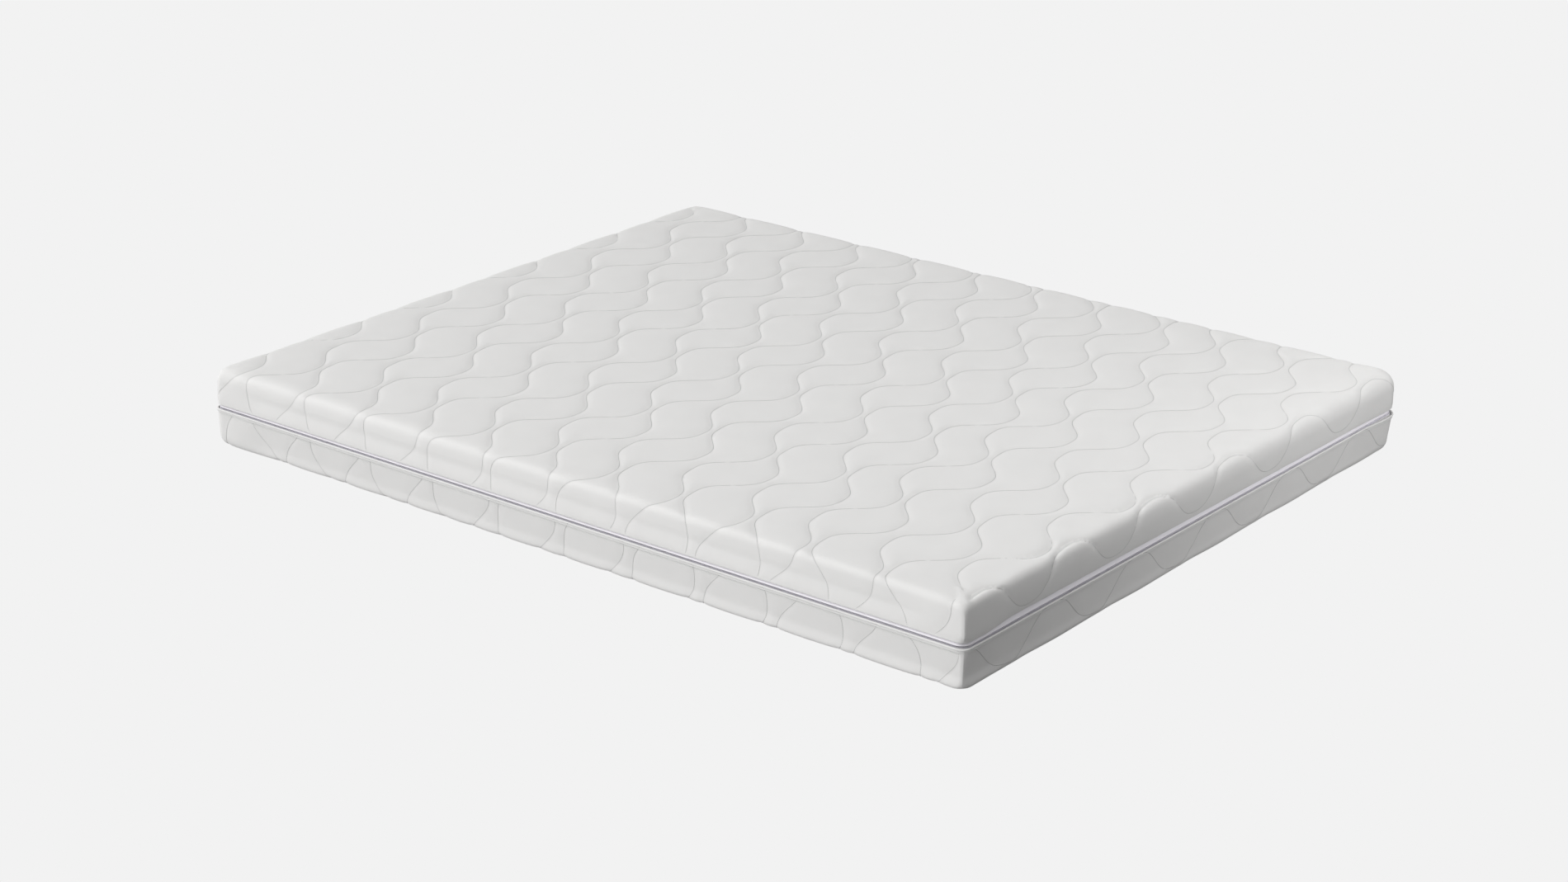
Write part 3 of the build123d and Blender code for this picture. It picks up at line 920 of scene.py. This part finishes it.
def slab(name, side_depth, low, high, low_radius, high_radius):
    """A soft-edged block of foam or sleeve, as rings from the middle of its underside to its top."""
    half_x, half_y = HALF_WIDTH - side_depth, HALF_LENGTH - side_depth
    corner = CAD_CORNER_RADIUS - side_depth
    turns = np.linspace(0.0, QUARTER_TURN, SLAB_EDGE_STEPS)
    from_side, from_flat = 1.0 - np.sin(turns), 1.0 - np.cos(turns)
    levels = [(low_radius + (half_x - low_radius) * share, low) for share in SLAB_RINGS[:0:-1]]
    levels += zip(low_radius * from_side, low + low_radius * from_flat)
    levels += zip(high_radius * from_flat, high - high_radius * from_side)
    levels += [(high_radius + (half_x - high_radius) * share, high) for share in SLAB_RINGS[1:]]
    rings = []
    for inset, height in levels:
        ring = plan_ring(half_x - inset, half_y - inset, max(corner - inset, SLAB_LEAST_RADIUS))
        rings.append(np.column_stack((ring, np.full(len(ring), height))))
    index = np.arange(len(rings[0]) * len(rings)).reshape(len(rings), -1)
    faces = grid_quads(np.pad(index, ((0, 0), (0, 1)), mode="wrap")).tolist()
    faces += [index[0, ::-1].tolist(), index[-1].tolist()]
    return placed(new_mesh(name, np.concatenate(rings), faces))


SOCK_THICKNESS = 0.0007
CUT_EDGE_RADIUS = 0.0012
SAME_LEVEL = 0.005
SLEEVE_SEAM_HEIGHT_SHARE = 0.62
SLEEVE_SEAM_POINTS = 6
SLEEVE_SEAM_HALF_DEPTH = 0.0006
SLEEVE_SEAM_HALF_WIDTH = 0.0012
SLEEVE_SEAM_SINK = 0.0002


def slab_of(node, name):
    """A slab that fills a CAD node, rounded where the node meets the cover's rounded edges."""
    low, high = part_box(node)
    core_low, core_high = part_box("inner_sock")
    depth = HALF_WIDTH - high.x
    top_radius = EDGE_RADIUS[1] - depth if high.z > core_high.z - SAME_LEVEL else CUT_EDGE_RADIUS
    bottom_radius = EDGE_RADIUS[-1] - depth if low.z < core_low.z + SAME_LEVEL else CUT_EDGE_RADIUS
    return slab(name, depth, low.z, high.z, bottom_radius, top_radius)


def sleeve_seam():
    """The overlocked seam that closes the sleeve all round."""
    low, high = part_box("inner_sock")
    height = low.z + (high.z - low.z) * SLEEVE_SEAM_HEIGHT_SHARE
    loop = []
    for number in range(SLEEVE_SEAM_POINTS):
        turn = number / SLEEVE_SEAM_POINTS * 2.0 * math.pi
        inward, rise = SLEEVE_SEAM_HALF_DEPTH * math.cos(turn), SLEEVE_SEAM_HALF_WIDTH * math.sin(turn)
        loop.append((inward, height + rise))
    return band("inner_sock_seam", HALF_WIDTH - high.x + SLEEVE_SEAM_SINK, lambda places, normals: loop)


# ---------------------------------------------------------------- materials


WALE = 0.0016
COURSE = 0.0012
LOOP_SLANT = 1.3


def new_material(name, colour, roughness, sheen=0.0, metallic=0.0):
    """A plain material, with its node tree and its shader."""
    found = bpy.data.materials.new(name)
    found.use_nodes = True
    shader = found.node_tree.nodes["Principled BSDF"]
    shader.inputs["Base Color"].default_value = (*colour, 1.0)
    shader.inputs["Roughness"].default_value = roughness
    shader.inputs["Sheen Weight"].default_value = sheen
    shader.inputs["Metallic"].default_value = metallic
    return found, found.node_tree, shader


def maths(tree, operation, *values):
    """A math node's result. Each value is a number or another node's output."""
    node = tree.nodes.new("ShaderNodeMath")
    node.operation = operation
    for socket, value in zip(node.inputs, values):
        if isinstance(value, (int, float)):
            socket.default_value = value
        else:
            tree.links.new(value, socket)
    return node.outputs[0]


def axes_of(tree, uv):
    """The cloth coordinates' outputs in metres, or the piece's own coordinates if uv is false."""
    if uv:
        source = tree.nodes.new("ShaderNodeUVMap")
        source.uv_map = "cloth"
        vector = source.outputs["UV"]
    else:
        vector = tree.nodes.new("ShaderNodeTexCoord").outputs["Object"]
    parted = tree.nodes.new("ShaderNodeSeparateXYZ")
    tree.links.new(vector, parted.inputs[0])
    return vector, parted.outputs


def noise(tree, vector, size, detail=2.0):
    """Noise whose features are about size metres across."""
    node = tree.nodes.new("ShaderNodeTexNoise")
    node.inputs["Scale"].default_value = 1.0 / size
    node.inputs["Detail"].default_value = detail
    tree.links.new(vector, node.inputs["Vector"])
    return node.outputs["Fac"]


def cells(tree, vector, size):
    """Distance to the nearest cell centre, of cells about size metres across."""
    node = tree.nodes.new("ShaderNodeTexVoronoi")
    node.inputs["Scale"].default_value = 1.0 / size
    tree.links.new(vector, node.inputs["Vector"])
    return node.outputs["Distance"]


def raised(tree, shader, height, distance):
    """Bump from a height of 0 to 1, distance metres deep."""
    node = tree.nodes.new("ShaderNodeBump")
    node.inputs["Distance"].default_value = distance
    node.inputs["Strength"].default_value = 1.0
    tree.links.new(height, node.inputs["Height"])
    tree.links.new(node.outputs["Normal"], shader.inputs["Normal"])


def ramped(tree, factor, socket, low_value, high_value, low=0.0, high=1.0):
    """Drive a shader socket between two numbers or colours as factor goes from low to high."""
    node = tree.nodes.new("ShaderNodeValToRGB")
    for element, place, value in zip(node.color_ramp.elements, (low, high), (low_value, high_value)):
        element.position = place
        element.color = (*value, 1.0) if isinstance(value, tuple) else (value, value, value, 1.0)
    tree.links.new(factor, node.inputs["Fac"])
    tree.links.new(node.outputs["Color"], socket)


def toned(tree, shader, factor, colour, tones, between):
    """Shade a colour from one tone to another as factor goes between two values."""
    low, high = (tuple(channel * tone for channel in colour) for tone in tones)
    ramped(tree, factor, shader.inputs["Base Color"], low, high, *between)


def roughened(tree, shader, factor, low, high):
    """Vary the roughness from low to high over the middle of factor's range."""
    ramped(tree, factor, shader.inputs["Roughness"], low, high, 0.3, 0.7)


def blended(tree, first, share, second):
    """A mix of two heights, with the first one's share."""
    rest = maths(tree, "MULTIPLY", second, 1.0 - share)
    return maths(tree, "ADD", maths(tree, "MULTIPLY", first, share), rest)


def jersey(tree, across, along, wale, course):
    """Height of knitted loops: columns of small V shapes."""
    column = maths(tree, "FRACT", maths(tree, "DIVIDE", across, wale))
    slant = maths(tree, "ABSOLUTE", maths(tree, "SUBTRACT", column, 0.5))
    slant = maths(tree, "MULTIPLY", slant, LOOP_SLANT)
    turn = maths(tree, "ADD", maths(tree, "DIVIDE", along, course), slant)
    loop = maths(tree, "SINE", maths(tree, "MULTIPLY", turn, 2.0 * math.pi))
    loop = maths(tree, "MULTIPLY_ADD", loop, 0.5, 0.5)
    groove = maths(tree, "SINE", maths(tree, "MULTIPLY", column, math.pi))
    return maths(tree, "MULTIPLY", loop, maths(tree, "POWER", groove, 0.5))


def knit_material(name, colour, uv=True, wale=WALE, course=COURSE, depth=0.00022):
    """Jersey knit: loops in the bump, slow unevenness from the yarn in the tone, and painted shade between
    the loops.
    """
    found, tree, shader = new_material(name, colour, roughness=0.78, sheen=0.12)
    vector, axis = axes_of(tree, uv)
    along = axis[1] if uv else maths(tree, "ADD", axis[1], axis[2])
    loops = jersey(tree, axis[0], along, wale, course)
    fuzz = noise(tree, vector, size=0.0007, detail=1.0)
    height = maths(tree, "ADD", loops, maths(tree, "MULTIPLY", fuzz, 0.35))
    raised(tree, shader, height, depth)
    slow = noise(tree, vector, size=0.060, detail=3.0)
    # Tone: the yarn's slow unevenness, and painted shade where the loops' bump is low.
    tone = blended(tree, slow, 0.6, loops)
    toned(tree, shader, tone, colour, tones=(0.98, 1.02), between=(0.2, 0.8))
    roughened(tree, shader, slow, low=0.72, high=0.86)
    return found


def woven_material(name, colour, warp, weft, depth, roughness=0.6):
    """Plain weave: threads over and under along the piece's own axes, with painted shade where they pass
    under.
    """
    found, tree, shader = new_material(name, colour, roughness, sheen=0.10)
    vector, axis = axes_of(tree, False)
    level = maths(tree, "ADD", axis[0], axis[1])
    over = maths(tree, "SINE", maths(tree, "MULTIPLY", level, math.pi / warp))
    under = maths(tree, "SINE", maths(tree, "MULTIPLY", axis[2], math.pi / weft))
    cross = maths(tree, "MULTIPLY_ADD", maths(tree, "MULTIPLY", over, under), 0.5, 0.5)
    raised(tree, shader, cross, depth)
    # Tone: half random noise, half painted shade where the threads pass under.
    tone = blended(tree, cross, 0.5, noise(tree, vector, size=0.02))
    toned(tree, shader, tone, colour, tones=(0.93, 1.02), between=(0.2, 0.8))
    return found


def fibre_material(name, colour, size, depth, contrast):
    """Tangled fibres, as in wadding and pressed scrim, with painted shade where the fibres lie low."""
    found, tree, shader = new_material(name, colour, roughness=0.9, sheen=0.2)
    vector, _ = axes_of(tree, False)
    fibres = noise(tree, vector, size, detail=6.0)
    clumps = noise(tree, vector, size * 12)
    height = maths(tree, "MULTIPLY", fibres, maths(tree, "ADD", clumps, 0.3))
    raised(tree, shader, height, depth)
    # Painted shade: the colour darkens where the fibres' bump height is low.
    toned(tree, shader, height, colour, tones=(contrast, 1.0), between=(0.2, 0.6))
    return found


def foam_material(name, colour, cell, depth):
    """Open foam: small cells of uneven size, with painted shade in their hollows."""
    found, tree, shader = new_material(name, colour, roughness=0.85, sheen=0.05)
    vector, _ = axes_of(tree, False)
    height = blended(tree, cells(tree, vector, cell), 0.6, cells(tree, vector, cell * 2.7))
    raised(tree, shader, height, depth)
    # Painted shade: darker where the cells' bump is low.
    toned(tree, shader, height, colour, tones=(0.80, 1.0), between=(0.1, 0.5))
    return found


def thread_material(name, colour):
    """Twisted sewing thread."""
    found, tree, shader = new_material(name, colour, roughness=0.5, sheen=0.1)
    vector, _ = axes_of(tree, False)
    raised(tree, shader, noise(tree, vector, size=0.0004, detail=1.0), distance=0.0001)
    toned(tree, shader, noise(tree, vector, size=0.01), colour, tones=(0.9, 1.05), between=(0.3, 0.7))
    return found


def nylon_material(name, colour):
    """Drawn nylon coil, slightly glossy."""
    found, tree, shader = new_material(name, colour, roughness=0.35)
    vector, _ = axes_of(tree, False)
    roughened(tree, shader, noise(tree, vector, size=0.004), low=0.28, high=0.45)
    toned(tree, shader, noise(tree, vector, size=0.015), colour, tones=(0.92, 1.0), between=(0.3, 0.7))
    return found


def metal_material(name, colour, roughness, scratch):
    """Satin metal, brushed along its length, with small handling marks and painted shade in its brushed
    grooves.
    """
    found, tree, shader = new_material(name, colour, roughness, metallic=1.0)
    vector, _ = axes_of(tree, False)
    brushed = tree.nodes.new("ShaderNodeVectorMath")
    brushed.operation = "MULTIPLY"
    brushed.inputs[1].default_value = (1.0, 0.08, 1.0)
    tree.links.new(vector, brushed.inputs[0])
    lines = noise(tree, brushed.outputs[0], size=0.0003)
    raised(tree, shader, lines, scratch)
    roughened(tree, shader, noise(tree, vector, size=0.003), roughness * 0.8, roughness * 1.3)
    # Painted shade: the colour darkens in the low parts of the brushed lines.
    toned(tree, shader, lines, colour, tones=(0.9, 1.0), between=(0.3, 0.7))
    return found


# ---------------------------------------------------------------- stage

CAMERA_PLACE = (-5.051, -4.016, 2.492)
CAMERA_PITCH = 90 - 21.03
CAMERA_TURN = -51.08
CAMERA_LENS = 73.19
CAMERA_SENSOR = 36.0
CAMERA_CLIP = 200.0
BACKDROP = 0.8880
FLOOR_REACH = 60.0
FLOOR_DROP = 0.0005
LIGHT_FROM = (-0.56, 0.70, 0.44)
LIGHT_LEVEL = 0.63
LIGHT_CONTRAST = 1.04
LAMPS = (  # name, place, aimed at, width, height, watts
    ("key_lamp", (-4.0, 1.5, 4.2), (0.0, 0.0, 0.1), 3.0, 3.0, 58.0),
    ("foot_lamp", (0.7, -2.1, 0.6), (0.0, -1.0, 0.1), 0.7, 0.5, 8.8),
)


def make_camera():
    """The camera where the photo was taken from."""
    data = bpy.data.cameras.new("camera")
    data.lens = CAMERA_LENS
    data.sensor_width = CAMERA_SENSOR
    data.clip_end = CAMERA_CLIP
    camera = in_scene("camera", data)
    camera.location = CAMERA_PLACE
    camera.rotation_euler = Euler((math.radians(CAMERA_PITCH), 0, math.radians(CAMERA_TURN)))
    bpy.context.scene.camera = camera


def make_floor():
    """A plain pale floor, as even as the backdrop."""
    around = (FOOT_LEFT, FOOT_RIGHT, HEAD_RIGHT, HEAD_LEFT)
    corners = np.array([(x * FLOOR_REACH, y * FLOOR_REACH, -FLOOR_DROP) for x, y in around])
    mesh = new_mesh("floor", corners, [(0, 1, 2, 3)])
    floor = in_scene("floor", mesh)
    pale = bpy.data.materials.new("pale_floor")
    pale.use_nodes = True
    tree = pale.node_tree
    tree.nodes.clear()
    glow = tree.nodes.new("ShaderNodeEmission")
    glow.inputs["Color"].default_value = (BACKDROP, BACKDROP, BACKDROP, 1)
    out = tree.nodes.new("ShaderNodeOutputMaterial")
    tree.links.new(glow.outputs["Emission"], out.inputs["Surface"])
    mesh.materials.append(pale)
    floor.visible_diffuse = False
    floor.visible_glossy = False


def make_world():
    """Soft studio light, brightest from the head's left, and a flat pale backdrop behind the object."""
    world = bpy.data.worlds.new("studio")
    bpy.context.scene.world = world
    world.use_nodes = True
    tree = world.node_tree
    tree.nodes.clear()
    place = tree.nodes.new("ShaderNodeTexCoord")
    lean = tree.nodes.new("ShaderNodeVectorMath")
    lean.operation = "DOT_PRODUCT"
    lean.inputs[1].default_value = LIGHT_FROM
    tree.links.new(place.outputs["Generated"], lean.inputs[0])
    level = tree.nodes.new("ShaderNodeMapRange")
    level.inputs["From Min"].default_value = -1.0
    level.inputs["From Max"].default_value = 1.0
    level.inputs["To Min"].default_value = LIGHT_LEVEL - LIGHT_CONTRAST
    level.inputs["To Max"].default_value = LIGHT_LEVEL + LIGHT_CONTRAST
    tree.links.new(lean.outputs["Value"], level.inputs["Value"])
    light = tree.nodes.new("ShaderNodeBackground")
    tree.links.new(maths(tree, "MAXIMUM", level.outputs["Result"], 0.0), light.inputs["Strength"])
    flat = tree.nodes.new("ShaderNodeBackground")
    flat.inputs["Color"].default_value = (BACKDROP, BACKDROP, BACKDROP, 1)
    path = tree.nodes.new("ShaderNodeLightPath")
    mix = tree.nodes.new("ShaderNodeMixShader")
    tree.links.new(path.outputs["Is Camera Ray"], mix.inputs["Fac"])
    tree.links.new(light.outputs["Background"], mix.inputs[1])
    tree.links.new(flat.outputs["Background"], mix.inputs[2])
    out = tree.nodes.new("ShaderNodeOutputWorld")
    tree.links.new(mix.outputs["Shader"], out.inputs["Surface"])


def make_lamps():
    """A large soft key from the upper left and a small low lamp beyond the foot end."""
    for name, place, target, width, height, power in LAMPS:
        data = bpy.data.lights.new(name, "AREA")
        data.shape = "RECTANGLE"
        data.size = width
        data.size_y = height
        data.energy = power
        lamp = in_scene(name, data)
        lamp.location = place
        lamp.rotation_euler = (Vector(target) - lamp.location).to_track_quat("-Z", "Y").to_euler()


# ---------------------------------------------------------------- making it


def join_in(piece, finish, body, slot, *nodes):
    """Give a piece its finish and body, and let it stand for CAD nodes. The slot is not used."""
    piece.data.materials.append(finish)
    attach(piece, body)
    if nodes:
        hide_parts(*nodes)
    return piece


bpy.context.scene.view_settings.view_transform = "Standard"
make_camera()
make_world()
make_lamps()
make_floor()

KNIT_WHITE = (0.865, 0.860, 0.850)
LAVENDER = (0.96, 0.94, 0.99)
knit = knit_material("white_jersey", KNIT_WHITE)
# The quilting thread is white; its mid grey here is painted shade for the shadows in the stitch holes and
# creases.
thread = thread_material("quilting_thread", (0.48, 0.48, 0.48))
wadding_fibre = fibre_material("polyester_wadding", (0.88, 0.88, 0.87), 0.0012, 0.0008, 0.85)
scrim = fibre_material("backing_scrim", (0.80, 0.80, 0.79), 0.0009, 0.0002, 0.88)
hem_knit = knit_material("hem_jersey", KNIT_WHITE, uv=False)
seam_tape = woven_material("seam_cloth", (0.84, 0.84, 0.83), 0.0010, 0.0010, 0.0002)
tape_cloth = woven_material("zip_tape_weave", LAVENDER, 0.0009, 0.0007, 0.00012)
# The coil is the tape's pale lavender; its darker grey here is painted shade of the recess between the lips.
coil_nylon_with_painted_shade = nylon_material("zip_coil_nylon", (0.78, 0.76, 0.84))
label_satin = woven_material("label_satin", (0.90, 0.90, 0.89), 0.0004, 0.0003, 0.00006, 0.4)
label_thread = thread_material("label_thread", (0.75, 0.75, 0.74))
sock_loops = {"wale": 0.0024, "course": 0.0019, "depth": 0.0003}
sock_knit = knit_material("sleeve_jersey", (0.84, 0.84, 0.86), uv=False, **sock_loops)
sock_thread = thread_material("sleeve_thread", (0.80, 0.80, 0.82))
memory_foam = foam_material("memory_foam_cells", (0.90, 0.86, 0.74), 0.0011, 0.0003)
support_foam = foam_material("support_foam_cells", (0.86, 0.87, 0.88), 0.0019, 0.0006)
stop_metal = metal_material("crimped_stop", (0.78, 0.78, 0.80), 0.30, 0.00004)
slider_metal = metal_material("slider_casting", (0.80, 0.80, 0.82), 0.26, 0.00003)
pin_steel = metal_material("pin_steel", (0.70, 0.70, 0.71), 0.20, 0.00002)

for side, half in HALVES.items():
    body = f"{half}_cover"
    cover = join_in(knit_cover(side), knit, body, "cover_knit", f"{half}_cover_knit")
    threads = join_in(quilting_thread(side), thread, body, "cover_knit")
    fill = join_in(wadding(side), wadding_fibre, body, "quilt_wadding", f"{half}_cover_wadding")
    inside = join_in(backing(side), scrim, body, "quilt_backing", f"{half}_cover_backing")
    folded_hem = join_in(hem(side), hem_knit, body, "cover_hem", f"{half}_cover_hem")
    seams = join_in(corner_allowances(side), seam_tape, body, "seam_tape", f"{half}_corner_seams")
    tape = join_in(zip_tape(side), tape_cloth, body, "zip_tape", f"{half}_zip_tape")
    join_in(zip_teeth(side), coil_nylon_with_painted_shade, body, "zip_coil", f"{half}_zip_coil")

label, label_stitches = care_label()
join_in(label, label_satin, "lower_cover", "label_fabric", "care_label")
join_in(label_stitches, label_thread, "lower_cover", "label_fabric")

sleeve = with_thickness(slab_of("inner_sock", "inner_sock_sleeve"), SOCK_THICKNESS)
join_in(sleeve, sock_knit, "foam_core", "sock_knit", "inner_sock")
seam = join_in(sleeve_seam(), sock_thread, "foam_core", "sock_knit")
memory = slab_of("memory_foam_layer", "memory_foam_block")
join_in(memory, memory_foam, "foam_core", "memory_foam", "memory_foam_layer")
support = slab_of("support_foam_layer", "support_foam_block")
join_in(support, support_foam, "foam_core", "support_foam", "support_foam_layer")

METAL_NODES = {
    "upper_zip_stop": stop_metal,
    "lower_zip_stop": stop_metal,
    "zip_slider_body": slider_metal,
    "zip_pull_tab": slider_metal,
    "zip_pull_pin": pin_steel,
}
for name, metal in METAL_NODES.items():
    for material_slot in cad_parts[name].material_slots:
        material_slot.material = metal
